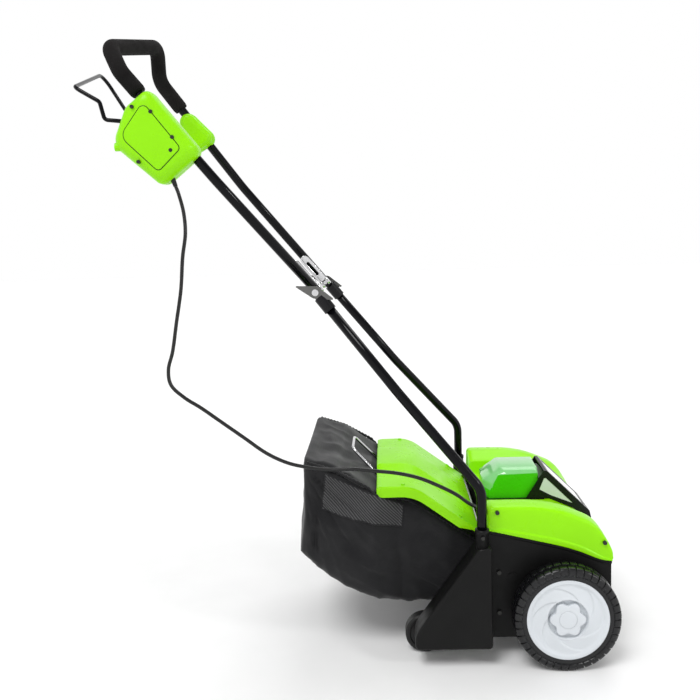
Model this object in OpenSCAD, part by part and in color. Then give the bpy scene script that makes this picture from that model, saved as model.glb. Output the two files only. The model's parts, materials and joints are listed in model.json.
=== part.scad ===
// Cordless lawn dethatcher, millimetres, +X forward, +Y to the machine's left, +Z up.
// Sizes are laid out from the front axle line; place() then centres the machine on its footprint.

/* [Wheels] */
// Radius of the front wheels
wheel_r = 100; // [90:1:110]
// Width of a front tyre
wheel_w = 42; // [34:1:46]
// Overall width over the front tyres
track_w = 534; // [524:2:560]
// Radius of the rear wheels
rear_wheel_r = 38; // [32:1:40]

/* [Deck] */
// Half width of the deck housing
deck_half = 208; // [206:1:212]
// Wall thickness of moulded shells
wall = 3; // [2:0.5:4]
// Height of the deck's lower edge
deck_z0 = 39; // [30:1:45]

/* [Rotor] */
// Radius swept by the tine tips
tine_r = 78; // [70:1:80]
// Number of tines on each carrier rod
tines_per_rod = 6; // [4:1:8]
// Diameter of the tine wire
tine_d = 3.2; // [2.5:0.1:4]

/* [Handle] */
// Outer radius of the handle tubes
tube_r = 9.5; // [8:0.5:10]
// Wall thickness of the handle tubes
tube_wall = 1.5; // [1.2:0.1:2]
// Outer radius of the foam grip
foam_r = 16; // [13:0.5:17]
// Radius of the bail wire
bail_r = 4; // [3:0.5:4.5]
// Share of the right upper arm left bare below the grip
bare_right = 0.83; // [0.78:0.01:0.88]
// Share of the left upper arm left bare below the grip
bare_left = 0.74; // [0.7:0.01:0.8]
// Diameter of the power cable
cable_d = 7; // [5:0.5:8]

/* [Hidden] */
$fn = 48;

running = 0.05;     // radial clearance of a running fit
bolt_play = 0.09;   // and of the fold's bolts
wheel_out = track_w / 2;
skirt_y = deck_half + 4;

// Joint places, as [x, z] in the side view.
rotor = [-35, 82];
drive = [-75, 217];
crank = [62, 104];
hinge = [-150, 236];
fold = [-460, 715];
socket = [-155, 240];   // a lower tube's socket, as [x, y]
rear = [-264, rear_wheel_r];
bail_pivot = [-742, 1043];

// Directions square to the planes that the bent bars lie in.
across = [0, 1, 0];
off_handle = [0.77, 0, 0.64];
off_bag = [0.5, 0, 0.87];

// Handle routes, as [x, y, z] on the right side; the left side has its own upper bends.
lower_half = 147;   // half width between the lower tubes at the fold
upper_half = 123;   // half width between the upper tubes at the fold
lower_route = [
    [socket[0], -socket[1], 212], [socket[0], -socket[1], 345], [-305, -185, 520],
    [fold[0], -lower_half, fold[1]]];
lower_bends = [0, 45, 150, 0];
upper_route = [
    [fold[0], -upper_half, fold[1]], [-645, -150, 935], [-825, -128, 1150], [-850, -108, 1200],
    [-815, 108, 1245], [-820, 132, 1175], [-645, 150, 935], [fold[0], upper_half, fold[1]]];
upper_bends = [0, 150, 60, 28, 28, 50, 150, 0];
foam_route = [
    between(upper_route[1], upper_route[2], bare_right), each [for (i = [2:5]) upper_route[i]],
    between(upper_route[6], upper_route[5], bare_left)];
foam_bends = [0, 60, 28, 28, 50, 0];
bail_route = [
    [bail_pivot[0], -158, bail_pivot[1]], [-850, -158, 1055], [-860, -152, 1090], [-910, -145, 1120],
    [-940, 105, 1190], [-895, 118, 1110], [-850, 120, 1060], [bail_pivot[0], 120, bail_pivot[1]]];
bail_bends = [0, 10, 12, 16, 16, 30, 30, 0];

// The bail reaches furthest back, and the footprint runs from there to the front tyres.
rear_end = min([for (p = bent(bail_route, bail_bends)) p[0]]) - bail_r;
centre_x = (wheel_r + rear_end) / 2;

// The cable, from the switch box's relief down and forward to the hood.
cable_route = [
    [-720, -160, 925], [-715, -160, 910], [-705, -170, 875], [-700, -185, 835],
    [-705, -195, 790], [-710, -200, 730], [-720, -205, 670], [-730, -205, 615],
    [-740, -205, 580], [-735, -210, 550], [-710, -210, 525], [-680, -210, 505],
    [-640, -210, 475], [-600, -210, 445], [-560, -210, 415], [-520, -210, 395],
    [-480, -210, 385], [-440, -210, 380], [-395, -210, 380], [-350, -210, 375],
    [-310, -210, 370], [-270, -210, 360], [-235, -210, 345], [-200, -205, 325],
    [-175, -200, 305], [-150, -195, 290]];
relief_top = [-730, -160, 955];
relief_gap = 0.6;   // between the cable's end and the strain relief
gland_end = [-130, -191, 278];

// ---------------------------------------------------------------- helpers
module place() translate([-centre_x, 0, 0]) children();

module both() {
    children();
    mirror([0, 1, 0]) children();
}

// A side-view outline ([x, z]) made solid between two widths.
module slab(y0, y1) translate([0, y1, 0]) rotate([90, 0, 0]) linear_extrude(y1 - y0) children();

// A round bar along Y at [x, z].
module bar(at, y0, y1, r) translate([at[0], y1, at[1]]) rotate([90, 0, 0]) cylinder(h = y1 - y0, r = r);

function unit(v) = v / norm(v);
function between(a, b, share) = a + (b - a) * share;

function before(p, i) = p[(i + len(p) - 1) % len(p)];
function after(p, i) = p[(i + 1) % len(p)];

// A side-view outline with a round at each corner.
function corner(p, u, v, r) =
    let (a = turn(u, v), m = sign(u[0] * v[1] - u[1] * v[0]) * [-u[1], u[0]],
        c = p - u * r * tan(a / 2) + m * r, steps = max(1, ceil(a / 12)))
    r == 0 || a < 0.1 ? [p] : [for (k = [0:steps]) c + r * (sin(a * k / steps) * u - cos(a * k / steps) * m)];
function rounded(p, r) = [for (i = [0:len(p) - 1])
    each corner(p[i], unit(p[i] - before(p, i)), unit(after(p, i) - p[i]), r[i])];

// The same corners moved inward by t; the corners run anticlockwise.
function inset(p, t) = [for (i = [0:len(p) - 1])
    let (u = unit(p[i] - before(p, i)), v = unit(after(p, i) - p[i]), m = [-u[1], u[0]], n = [-v[1], v[0]])
    p[i] + t * (m + n) / (1 + m * n)];
function less(r, t) = [for (x = r) max(0, x - t)];
function turn(u, v) = acos(max(-1, min(1, u * v)));

// A straight round bar from a to b.
module rod(a, b, r) {
    d = b - a;
    translate(a) rotate([0, acos(d[2] / norm(d)), atan2(d[1], d[0])]) cylinder(h = norm(d), r = r);
}

// Points round a bend at corner p, from direction u to direction v.
function bend_points(p, u, v, bend_r) =
    let (a = turn(u, v), n = unit(cross(u, v)), m = cross(n, u), steps = max(2, ceil(a / 10)),
        c = p - u * bend_r * tan(a / 2) + m * bend_r)
    [for (k = [0:steps]) c + bend_r * (sin(a * k / steps) * u - cos(a * k / steps) * m)];

// The centre line of a bent bar through the points of a route, with a radius at each bend.
function bent(route, bends) =
    let (last = len(route) - 1, dir = [for (i = [0:last - 1]) unit(route[i + 1] - route[i])])
    concat([route[0]],
        [for (i = [1:last - 1]) each bend_points(route[i], dir[i - 1], dir[i], bends[i])],
        [route[last]]);

// A smooth curve through a list of points, with a few steps between neighbours.
function smooth_point(p, i, t) =
    let (n = len(p) - 1, a = p[max(0, i - 1)], b = p[i], c = p[min(n, i + 1)], d = p[min(n, i + 2)])
    0.5 * (2 * b + (c - a) * t + (2 * a - 5 * b + 4 * c - d) * t * t + (3 * b - a - 3 * c + d) * t * t * t);
function smooth(p, steps) = [
    for (i = [0:len(p) - 2], k = [0:steps - 1]) smooth_point(p, i, k / steps), p[len(p) - 1]];

// The same route, a little longer at both ends.
function longer(p, by) = let (n = len(p) - 1) [
    p[0] + by * unit(p[0] - p[1]), each [for (i = [1:n - 1]) p[i]], p[n] + by * unit(p[n] - p[n - 1])];

// A round tube swept along a curve that never runs along the direction side.
module sweep(p, r, sides, side) {
    n = len(p);
    way = [for (i = [0:n - 2]) unit(p[i + 1] - p[i])];
    t = [for (i = [0:n - 1]) unit(way[min(n - 2, i)] + way[max(0, i - 1)])];
    pts = [for (i = [0:n - 1], k = [0:sides - 1])
        let (b = unit(cross(t[i], side)), c = cross(b, t[i]), a = 360 * k / sides)
        p[i] + r * (cos(a) * b + sin(a) * c)];
    faces = concat(
        [[for (k = [sides - 1:-1:0]) k]],
        [for (i = [0:n - 2], k = [0:sides - 1])
            [i * sides + k, i * sides + (k + 1) % sides, (i + 1) * sides + (k + 1) % sides,
                (i + 1) * sides + k]],
        [[for (k = [0:sides - 1]) (n - 1) * sides + k]]);
    polyhedron(pts, faces);
}

// ---------------------------------------------------------------- deck
// Side view of the hood's skirt, anticlockwise from its front foot.
hood_front = 99;
hood_rear = -140;
hood_top = 300;
hood_low = [[75, 192], [20, 216], [hood_rear, 254]];   // the skirt's lower edge
skirt_corners = [
    [hood_front, 195], [hood_front, 212], [70, 262], [-20, hood_top], [hood_rear, hood_top],
    hood_low[2], hood_low[1], hood_low[0]];
skirt_rounds = [0, 25, 25, 90, 16, 0, 0, 0];
module hood_skirt() polygon(rounded(skirt_corners, skirt_rounds));
module hood_hollow() polygon(rounded(
    [each [for (i = [0:4]) inset(skirt_corners, wall)[i]], [hood_rear + wall, 150], [hood_front - wall, 150]],
    [each [for (i = [0:4]) less(skirt_rounds, wall)[i]], 0, 0]));
function trough(t) = [[hood_rear, 258 - t], [10, 258 - t], [60, 236 - t], [97, 206 - t]];

deck_front = 95;
deck_rear = -138;
deck_lip = 28;      // how far the deck's sides stand up behind the skirt
hood_screw_at = [[-122, 289], [82, 226]];
module deck_side() polygon([
    [deck_rear, deck_z0], [deck_front, deck_z0], [deck_front, 190], [90, 205],
    hood_low[0] + [0, deck_lip], hood_low[1] + [0, deck_lip],
    [hood_rear + wall + 0.3, 278], [hood_rear + wall + 0.3, 252], [deck_rear, 252]]);

module deck_shell() color("#262626") difference() {
    union() {
        both() slab(deck_half - 4, deck_half) {
            deck_side();
            polygon([[-134, 260], [-110, 260], [-110, 294], [-128, 294], [-134, 288]]);
            polygon([[72, 200], [86, 200], [82, 230], [72, 230]]);
        }
        slab(-deck_half + 2, deck_half - 2)
            polygon([[deck_front - 4, 62], [deck_front, 60], [deck_front, 203], [deck_front - 4, 203]]);
        slab(-deck_half + 2, 182) polygon([[-136, 178], [93, 178], [93, 182], [-136, 182]]);
        slab(178, 182) polygon([[-136, 45], [93, 45], [93, 182], [-136, 182]]);
        difference() {
            slab(-deck_half + 2, deck_half - 2) polygon([[-138, 45], [-134, 45], [-134, 250], [-138, 250]]);
            translate([-150, -158, 70]) cube([30, 316, 144]);
        }
        both() slab(158, 164) hull() {
            translate(hinge) circle(8, $fn = 32);
            translate([-137, 236]) square([4, 16], center = true);
        }
        both() bar([-94, 160], deck_half - 1, deck_half + 2, 9);
    }
    bar(crank, -deck_half - 5, deck_half + 5, 6 + running);
    bar(rotor, 170, 190, 17);
    bar(hinge, -170, 170, 3.5);
}

module hood() color("#9ae600") difference() {
    union() {
        both() difference() {
            slab(128, skirt_y) hood_skirt();
            slab(128 + wall, deck_half + 0.4) hood_hollow();
        }
        slab(-129, 129) polygon(concat(trough(0), [for (i = [3:-1:0]) trough(wall)[i]]));
    }
    translate([-122, -52, 240]) cube([116, 104, 30]);
    both() slab(127, 128 + wall) polygon([
        [hood_rear - 1, trough(wall)[0][1]], each [for (i = [1:3]) trough(wall)[i]],
        [hood_front + 1, 200], [hood_front + 1, 150], [hood_rear - 1, 150]]);
}

module hood_screws() color("#202020") both() for (at = hood_screw_at)
    bar(at, deck_half - 3, skirt_y + 1.2, 4);

// The visor's foot follows the trough, a millimetre above it, and clears the rim of the bay.
visor_side = [[-1.5, 260.4], [-40, 260.4], [-2, 319], [4, 319], [93, 231], [96, 218], [96, 209], each
    [trough(-1)[2], trough(-1)[1]]];
visor_window = [[-12, 279], [-2, 303], [2, 303], [58, 248], [12, 266]];
module visor_frame() color("#1c1c1c") difference() {
    union() {
        both() slab(51, 54) polygon(visor_side);
        slab(-53, 53) polygon([[-2, 319], [-2, 315], [2.4, 315], [90, 228.6], [93, 231], [4, 319]]);
        slab(-53, 53) polygon([[93, 231], [90, 229], [92, 213], [96, 210], [96, 218]]);
    }
    both() slab(50, 55) polygon(visor_window);
    slab(-42, 42) polygon([[14, 325], [4, 300], [76, 230], [94, 250]]);
}
module visor_panes() color("#c9cdcc") {
    both() slab(51.6, 53.4) polygon(visor_window);
    slab(-42, 42) polygon([[10.4, 311.8], [9, 310.4], [80, 240.4], [81.4, 241.8]]);
}

module battery_bay() color("#1e1e1e") difference() {
    union() {
        translate([-121, -51, 182]) cube([114, 102, 78]);
        translate([-126, -56, 258]) cube([124, 112, 2]);
    }
    translate([-118, -48, 186]) cube([108, 96, 90]);
}

// ---------------------------------------------------------------- rear pods and tubes
pod_corners = [[-285, 38], [-138, 38], [-138, 236], [-162, 236], [-285, 68]];
pod_rounds = [10, 9, 6, 8, 20];
module pod_side(t) polygon(rounded(inset(pod_corners, t), less(pod_rounds, t)));
module rear_pod() color("#262626") difference() {
    union() {
        difference() {
            slab(205, 255) pod_side(0);
            slab(200, 252) pod_side(wall);
        }
        slab(deck_half, deck_half + 3) polygon([[-140, 62], [-112, 62], [-106, 70], [-106, 192],
            [-112, 200], [-140, 200]]);
        bar(rear, 196, 214, 14);
        translate([socket[0], socket[1], 200]) cylinder(h = 69, r = 13.6);
        translate([-158, 226, 200]) cube([18, 27, 34]);
    }
    translate([socket[0], socket[1], 211]) cylinder(h = 70, r = tube_r);
    bar(rear, 190, 208, 5);
}
module rear_pod_left() rear_pod();
module rear_pod_right() mirror([0, 1, 0]) rear_pod();
module pod_screws() color("#3a3a3a") both() {
    for (z = [90, 170]) bar([-120, z], deck_half - 3, deck_half + 5, 4);
    bar([socket[0], 256], 249.6, 255, 3.5);
}
module rear_axles() color("silver") both() {
    bar(rear, 156, 208, 5);
    bar(rear, 154, 160, 8);
}
module lower_tube_right() color("#101010") difference() {
    sweep(bent(lower_route, lower_bends), tube_r, 20, across);
    sweep(bent(longer(lower_route, 1), lower_bends), tube_r - tube_wall, 20, across);
    bar(fold, -170, -130, 4 + bolt_play);
}
module lower_tube_left() mirror([0, 1, 0]) lower_tube_right();

// Sleeve over the top end of each lower tube, with the spacer between the two tubes.
lower_dir = unit(lower_route[3] - lower_route[2]);
fold_right = lower_route[3];
module joint_sleeves() color("#181818") both() difference() {
    union() {
        rod(fold_right - lower_dir * 46, fold_right - lower_dir * 13, 12.6);
        bar(fold, -137.3, -134.2, 11);
    }
    rod(fold_right - lower_dir * 60, fold_right, tube_r);
    bar(fold, -150, -120, 4 + bolt_play);
}
module joint_plates() color("#3c3c3a") both() difference() {
    slab(-160, -156.6) hull() {
        translate(fold) circle(12, $fn = 32);
        translate(fold + [-36, 12]) circle(1.5, $fn = 32);
        translate(fold + [32, -13]) circle(2, $fn = 32);
    }
    rod(fold_right - lower_dir * 60, fold_right, tube_r + 0.05);
    rod(fold_right - lower_dir * 60, fold_right - lower_dir * 12.9, 12.65);
    bar(fold, -170, -150, 4 + bolt_play);
}

// ---------------------------------------------------------------- drive
module motor() color("#5a5d60") difference() {
    union() {
        bar(drive, 74, 170, 34);
        bar(drive, 170, 174, 14);
        bar(drive, 64, 74, 22);
    }
    bar(drive, 150, 180, 5 + running);
}
module motor_bracket() color("#8b8d90") difference() {
    slab(174, 178) polygon([[-118, 182], [-32, 182], [-32, 240], [-45, 253], [-105, 253], [-118, 240]]);
    bar(drive, 170, 182, 9);
}
module motor_controller() color("#2c4a3a") translate([-112, -192, 182]) cube([74, 60, 34]);
module motor_pulley() color("#b5b5b5") {
    bar(drive, 156, 200, 5);
    bar(drive, 187, 199, 14);
}
module belt_loop(extra) hull() {
    translate(rotor) circle(30 + extra, $fn = 64);
    translate(drive) circle(14 + extra, $fn = 48);
}
module drive_belt() color("#1a1a1a") slab(188, 198) difference() {
    belt_loop(4);
    belt_loop(0.3);
}
module rotor_bearings() color("silver") difference() {
    union() {
        bar(rotor, -204, -194, 17);
        bar(rotor, 174, 182, 17);
    }
    bar(rotor, -210, 190, 8 + running);
}

// ---------------------------------------------------------------- tine rotor
rod_at = 38;        // distance of the carrier rods from the rotor axis
rod_count = 3;
rotor_from = -176;  // first and last carrier plate; the belt side has less room
rotor_to = 166;
plate_gap = (rotor_to - rotor_from) / 3;
rod_over = 4;       // how far a rod stands out of the end plates
module around(n) for (k = [0:n - 1]) translate([rotor[0], 0, rotor[1]]) rotate([0, k * 360 / n + 18, 0])
    children();
module rotor_shaft() color("silver") bar(rotor, -203, 200, 8);
module tine_carriers() color("#7d7f80") difference() {
    for (i = [0:3]) let (y = rotor_from + i * plate_gap) bar(rotor, y - 2, y + 2, rod_at + 9);
    bar(rotor, rotor_from - 9, rotor_to + 9, 8);
    around(rod_count) bar([0, rod_at], rotor_from - 9, rotor_to + 9, 4);
}
module tine_rods() color("silver") around(rod_count)
    bar([0, rod_at], rotor_from - rod_over, rotor_to + rod_over, 4);
// The rods take turns, so that the tines comb evenly spaced lines.
tine_gap = (rotor_to - rotor_from) / (rod_count * tines_per_rod);
function tine_y(k, i) = rotor_from + tine_gap * (rod_count * i + k + 0.5);
module spring_tines() color("#c0c2c4") for (k = [0:rod_count - 1]) translate([rotor[0], 0, rotor[1]])
    rotate([0, k * 360 / rod_count + 18, 0]) for (i = [0:tines_per_rod - 1]) difference() {
        union() {
            bar([0, rod_at], tine_y(k, i) - 5, tine_y(k, i) + 5, 7.4);
            translate([5.7, tine_y(k, i), rod_at]) cylinder(h = tine_r - rod_at - 1, r = tine_d / 2);
        }
        bar([0, rod_at], -200, 200, 4.15);
    }
module rotor_pulley() color("#b5b5b5") difference() {
    bar(rotor, 187, 199, 30);
    bar(rotor, 180, 210, 8);
}

// ---------------------------------------------------------------- front wheels
module depth_shaft() color("silver") bar(crank, -218, 223, 6);
module crank_arm() color("#3a3a3a") difference() {
    slab(deck_half + 4.4, deck_half + 10) hull() {
        translate(crank) circle(12, $fn = 32);
        translate([0, wheel_r]) circle(12, $fn = 32);
    }
    bar(crank, 200, 230, 6);
    bar([0, wheel_r], 200, 230, 6);
}
module crank_arm_left() crank_arm();
module crank_arm_right() mirror([0, 1, 0]) crank_arm();
module wheel_axles() color("silver") both() bar([0, wheel_r], deck_half + 4.4, wheel_out - 10, 6);
module depth_lever() color("#303030") difference() {
    union() {
        slab(218.3, 222.5) hull() {
            translate(crank) circle(11, $fn = 32);
            translate([22, 240]) circle(7, $fn = 32);
        }
        bar([22, 240], 218.3, 256, 9);
    }
    bar(crank, 210, 230, 6);
}
module front_tyre() color("#141414") translate([0, wheel_out, wheel_r]) rotate([90, 0, 0]) rotate_extrude()
    polygon([
    [77, 3], [92, 0], [97, 2], [wheel_r, 8], [wheel_r, wheel_w - 8], [97, wheel_w - 2], [92, wheel_w],
        [77, wheel_w - 3]]);
module front_rim() color("#dfe3e6") translate([0, wheel_out, wheel_r]) rotate([90, 0, 0]) rotate_extrude()
    polygon([
    [6 + running, 9], [36, 9], [38, 6], [60, 4], [70, 2], [77, 2], [77, wheel_w - 6], [70, wheel_w - 8],
    [68, 10], [40, 13], [16, 13], [16, wheel_w - 1], [6 + running, wheel_w - 1]]);
module wheel_cap() color("#d3d7da") translate([0, wheel_out, wheel_r]) rotate([90, 0, 0]) {
    for (k = [0:5]) rotate([0, 0, k * 60]) translate([24, 0, 3]) cylinder(h = 6, r = 9);
    translate([0, 0, 2.4]) cylinder(h = 6.6, r = 26);
}
module front_tyre_left() front_tyre();
module front_rim_left() front_rim();
module wheel_cap_left() wheel_cap();
module front_tyre_right() mirror([0, 1, 0]) front_tyre();
module front_rim_right() mirror([0, 1, 0]) front_rim();
module wheel_cap_right() mirror([0, 1, 0]) wheel_cap();

module rear_wheel() color("#1a1a1a") translate([rear[0], 191, rear[1]]) rotate([90, 0, 0]) rotate_extrude()
    polygon([
    [5 + running, 0], [12, 0], [14, 4], [28, 4], [30, 1], [35, 1], [rear_wheel_r, 4], [rear_wheel_r, 23],
    [35, 26], [30, 26], [28, 23], [14, 23], [12, 27], [5 + running, 27]]);
module rear_wheel_left() rear_wheel();
module rear_wheel_right() mirror([0, 1, 0]) rear_wheel();

// ---------------------------------------------------------------- flap, battery, bag
flap_top = [[-352, 329], [-345, 332], [-280, 333], [-152, 240]];
module flap_rod() color("silver") bar(hinge, -168, 168, 3.5);
module rear_flap() color("#9ae600") difference() {
    union() {
        slab(-178, 178) polygon(concat(flap_top, [[-153.8, 237.6], [-280.8, 330], [-344, 329], [-350, 326]]));
        both() slab(175, 178) polygon(concat(flap_top,
            [[-164, 229], [-277, 310], [-336, 311], [-347, 316], [-352, 324]]));
        both() slab(148, 156) hull() {
            translate(hinge) circle(7.5, $fn = 32);
            translate([-165, 246]) circle(2, $fn = 32);
        }
    }
    bar(hinge, -190, 190, 3.5 + running);
    both() bar(hinge, 157.4, 164.6, 9);
}
module flap_screws() color("#202020") both() for (x = [-300, -190])
    translate([x, 164, x < -280 ? 329.5 : 264.2]) rotate([0, x < -280 ? 0 : 36, 0]) cylinder(h = 5, r = 4);

module battery() color("#3fb800") slab(-46, 46) polygon(rounded(
    [[-115, 190], [-13, 190], [-13, 323], [-92, 323], [-128, 297], [-128, 284], [-115, 273]],
    [3, 3, 8, 24, 5, 4, 3]));
module battery_latch() color("#8fd800") {
    translate([-135, -17, 260.3]) cube([14, 34, 9]);
    translate([-122, -9, 260.3]) cube([5, 18, 5]);
}

bag_front = -356;   // the wide part starts behind the flap
bag_wall = 4;
bag_corners = [
    [bag_front, 107], [bag_front, 340], [-492, 395], [-492, 278], [-505, 205], [-490, 186], [-425, 140]];
bag_rounds = [0, 0, 18, 40, 8, 12, 120];
throat_corners = [
    [bag_front, 107], [-290, 93], [-142, 93], [-142, 212], [-175, 222], [-290, 286], [bag_front, 312]];
function throat_hollow() = let (p = inset(throat_corners, bag_wall), back = bag_front - bag_wall - 2)
    [[back, p[0][1]], p[1], [-130, p[2][1]], [-130, p[3][1]], p[4], p[5], [back, p[6][1]]];
module grass_bag() color("#2c2d2b") difference() {
    union() {
        slab(-188, 188) polygon(rounded(bag_corners, bag_rounds));
        slab(-166, 166) polygon(throat_corners);
    }
    slab(-188 + bag_wall, 188 - bag_wall)
        polygon(rounded(inset(bag_corners, bag_wall), less(bag_rounds, bag_wall)));
    slab(-166 + bag_wall, 166 - bag_wall) polygon(throat_hollow());
}
module bag_frame() color("silver") {
    sweep(bent([[-151, -60, 207], [-355, -55, 305], [-398, -48, 376], [-398, 48, 376], [-355, 55, 305],
        [-151, 60, 207]], [0, 25, 16, 16, 25, 0]), 3, 10, off_bag);
    sweep(bent([[-150, -8, 101], [-150, -157, 101], [-150, -157, 206], [-150, 157, 206], [-150, 157, 101],
        [-150, 8, 101]], [0, 8, 8, 8, 8, 0]), 3.5, 10, [1, 0, 0]);
}

// ---------------------------------------------------------------- upper handle
module handle_loop() sweep(bent(upper_route, upper_bends), tube_r, 20, off_handle);
module upper_tube() color("#101010") difference() {
    handle_loop();
    sweep(bent(longer(upper_route, 1), upper_bends), tube_r - tube_wall, 20, off_handle);
    bar(fold, -150, 150, 4);
}
module grip_foam() color("#232020") difference() {
    sweep(bent(foam_route, foam_bends), foam_r, 20, off_handle);
    handle_loop();
}
// Lobes of the switch box in the side view, as [x, z, radius].
box_lobes = [[-765, 1090, 15], [-785, 1060, 26], [-796, 1018, 30], [-742, 948, 18], [-690, 990, 18],
    [-719, 1046, 15]];
module box_outline(t) hull() for (c = box_lobes) translate([c[0], c[1]]) circle(c[2] - t, $fn = 32);
module box_cuts() {
    rod(upper_route[1], upper_route[2], tube_r + 0.3);
    translate([-840, -163.5, 1044]) cube([100, 11, 56]);
    translate([-840, -168, 1002]) rotate([0, 90, 0]) cylinder(h = 40, r = 8.4);
    rod(cable_route[0], between(cable_route[0], relief_top, 1.3), 6);
}
module switch_box_outer() color("#9ae600") {
    difference() {
        hull() {
            slab(-178, -154) box_outline(0);
            slab(-185, -154) box_outline(8);
        }
        hull() {
            slab(-176, -150) box_outline(3);
            slab(-182, -150) box_outline(10);
        }
        box_cuts();
    }
    bar(bail_pivot, -182.5, -155, 3);
}
module switch_box_inner() color("#9ae600") difference() {
    hull() {
        slab(-154, -124) box_outline(0);
        slab(-154, -119) box_outline(7);
    }
    hull() {
        slab(-158, -126) box_outline(3);
        slab(-158, -122) box_outline(9);
    }
    box_cuts();
}
module box_screws() color("#151515")
    for (at = [[-789, 1074], [-754, 1064], [-716, 1016], [-720, 992], [-782, 972]])
    bar(at, -186.2, -177, 3.6);
module switch_unit() color("#30343a") translate([-796, -179, 985]) cube([34, 19, 44]);
module bail_housing() color("#9ae600") difference() {
    union() {
        difference() {
            slab(106, 160) hull() for (c = [[-757, 1082, 18], [-722, 1046, 18], [-750, 1030, 18]])
                translate([c[0], c[1]]) circle(c[2], $fn = 32);
            slab(109, 126) hull() for (c = [[-757, 1082, 15], [-722, 1046, 15], [-750, 1030, 15]])
                translate([c[0], c[1]]) circle(c[2], $fn = 32);
        }
        bar(bail_pivot, 107, 127, 3);
    }
    rod(upper_route[5], upper_route[6], tube_r + 0.1);
    translate([-790, 114, 1036]) cube([40, 12, 40]);
}
lever_lean = 40;
pin_axis = [cos(lever_lean), 0, sin(lever_lean)];
pin_at = [fold[0], 104, fold[1]];
module joint_bolts() color("#c8c8c8") both() {
    bar(fold, 100.5, 163, 4);
    bar(fold, 160.2, 164, 6.5);
    rod(pin_at - pin_axis * 10, pin_at + pin_axis * 10, 2.5);
}
// Quick-release lever: a fork on the cross pin and a slotted blade along the tube.
module cam_lever() color("#d8d8d8") translate(pin_at) rotate([0, -lever_lean, 0]) difference() {
    union() {
        for (x = [-10, 4.6]) translate([x, 0, 0]) rotate([0, 90, 0]) cylinder(h = 5.4, r = 8.6);
        for (x = [-10, 4.6]) translate([x, -4, 0]) cube([5.4, 8, 22]);
        translate([-10, -4, 14]) cube([20, 5, 62]);
        translate([-10, -9, 72]) cube([20, 8, 5]);
    }
    rotate([0, 90, 0]) cylinder(h = 40, r = 2.5 + running, center = true);
    for (z = [24, 46]) translate([-4, -10, z]) cube([8, 16, 16]);
}
module cam_lever_left() cam_lever();
module cam_lever_right() mirror([0, 1, 0]) cam_lever();
module bail() color("#2a2a2a") difference() {
    union() {
        sweep(bent(bail_route, bail_bends), bail_r, 12, off_handle);
        bar(bail_pivot, -162.6, -153.4, 8);
        bar(bail_pivot, 115.4, 124.6, 8);
    }
    bar(bail_pivot, -200, 200, 3 + running);
}
module start_button() color("#7cc400") translate([-829, -168, 1002]) rotate([0, 90, 0])
    cylinder(h = 28, r = 8);
// Tapered sleeve from the box's lower end down to the cable.
relief_wide = 5.8;
module strain_relief() color("#161616") {
    d = relief_top - cable_route[0];
    translate(cable_route[0] + unit(d) * relief_gap) rotate([0, acos(d[2] / norm(d)), atan2(d[1], d[0])])
        cylinder(h = norm(d) - relief_gap, r1 = cable_d / 2 + 0.6, r2 = relief_wide);
}
module cable_gland() color("#161616") rod(cable_route[len(cable_route) - 1], gland_end, 6);
module power_cable() color("#141414") sweep(smooth(cable_route, 3), cable_d / 2, 8, across);

place() deck_shell();
place() hood();
place() hood_screws();
place() visor_frame();
place() visor_panes();
place() battery_bay();
place() rear_pod_right();
place() rear_pod_left();
place() pod_screws();
place() rear_axles();
place() lower_tube_right();
place() lower_tube_left();
place() joint_sleeves();
place() joint_plates();
place() motor();
place() motor_bracket();
place() motor_controller();
place() drive_belt();
place() rotor_bearings();
place() flap_rod();
place() cable_gland();
place() depth_shaft();
place() crank_arm_right();
place() crank_arm_left();
place() wheel_axles();
place() depth_lever();
place() front_tyre_right();
place() front_rim_right();
place() wheel_cap_right();
place() front_tyre_left();
place() front_rim_left();
place() wheel_cap_left();
place() rear_wheel_right();
place() rear_wheel_left();
place() rotor_shaft();
place() tine_carriers();
place() tine_rods();
place() spring_tines();
place() rotor_pulley();
place() motor_pulley();
place() rear_flap();
place() flap_screws();
place() battery();
place() battery_latch();
place() grass_bag();
place() bag_frame();
place() upper_tube();
place() grip_foam();
place() switch_box_outer();
place() switch_box_inner();
place() box_screws();
place() switch_unit();
place() bail_housing();
place() joint_bolts();
place() cam_lever_right();
place() cam_lever_left();
place() bail();
place() start_button();
place() power_cable();
place() strain_relief();
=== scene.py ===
import json
import math

import bmesh
import bpy
import numpy as np
from mathutils import Matrix, Vector, noise
from mathutils.bvhtree import BVHTree


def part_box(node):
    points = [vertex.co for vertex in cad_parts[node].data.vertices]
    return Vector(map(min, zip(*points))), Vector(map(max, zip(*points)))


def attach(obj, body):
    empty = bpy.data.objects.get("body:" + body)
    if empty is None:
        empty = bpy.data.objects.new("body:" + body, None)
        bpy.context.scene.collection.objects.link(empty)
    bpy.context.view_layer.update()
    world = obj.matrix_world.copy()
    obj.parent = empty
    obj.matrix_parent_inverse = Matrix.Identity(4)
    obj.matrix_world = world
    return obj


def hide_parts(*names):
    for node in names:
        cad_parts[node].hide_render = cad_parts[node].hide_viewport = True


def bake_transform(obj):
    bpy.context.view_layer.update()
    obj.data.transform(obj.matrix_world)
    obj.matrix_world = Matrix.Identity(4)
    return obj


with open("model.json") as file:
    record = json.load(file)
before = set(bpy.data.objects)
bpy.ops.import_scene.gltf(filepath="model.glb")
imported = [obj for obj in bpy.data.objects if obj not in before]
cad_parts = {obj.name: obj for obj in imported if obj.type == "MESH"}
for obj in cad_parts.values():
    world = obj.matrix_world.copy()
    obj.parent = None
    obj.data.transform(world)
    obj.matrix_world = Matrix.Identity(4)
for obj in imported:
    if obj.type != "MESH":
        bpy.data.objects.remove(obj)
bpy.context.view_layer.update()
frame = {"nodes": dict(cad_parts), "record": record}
MM = 0.001
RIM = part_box("front_rim_right")
AXLE_X = (RIM[0].x + RIM[1].x) / 2
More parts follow.
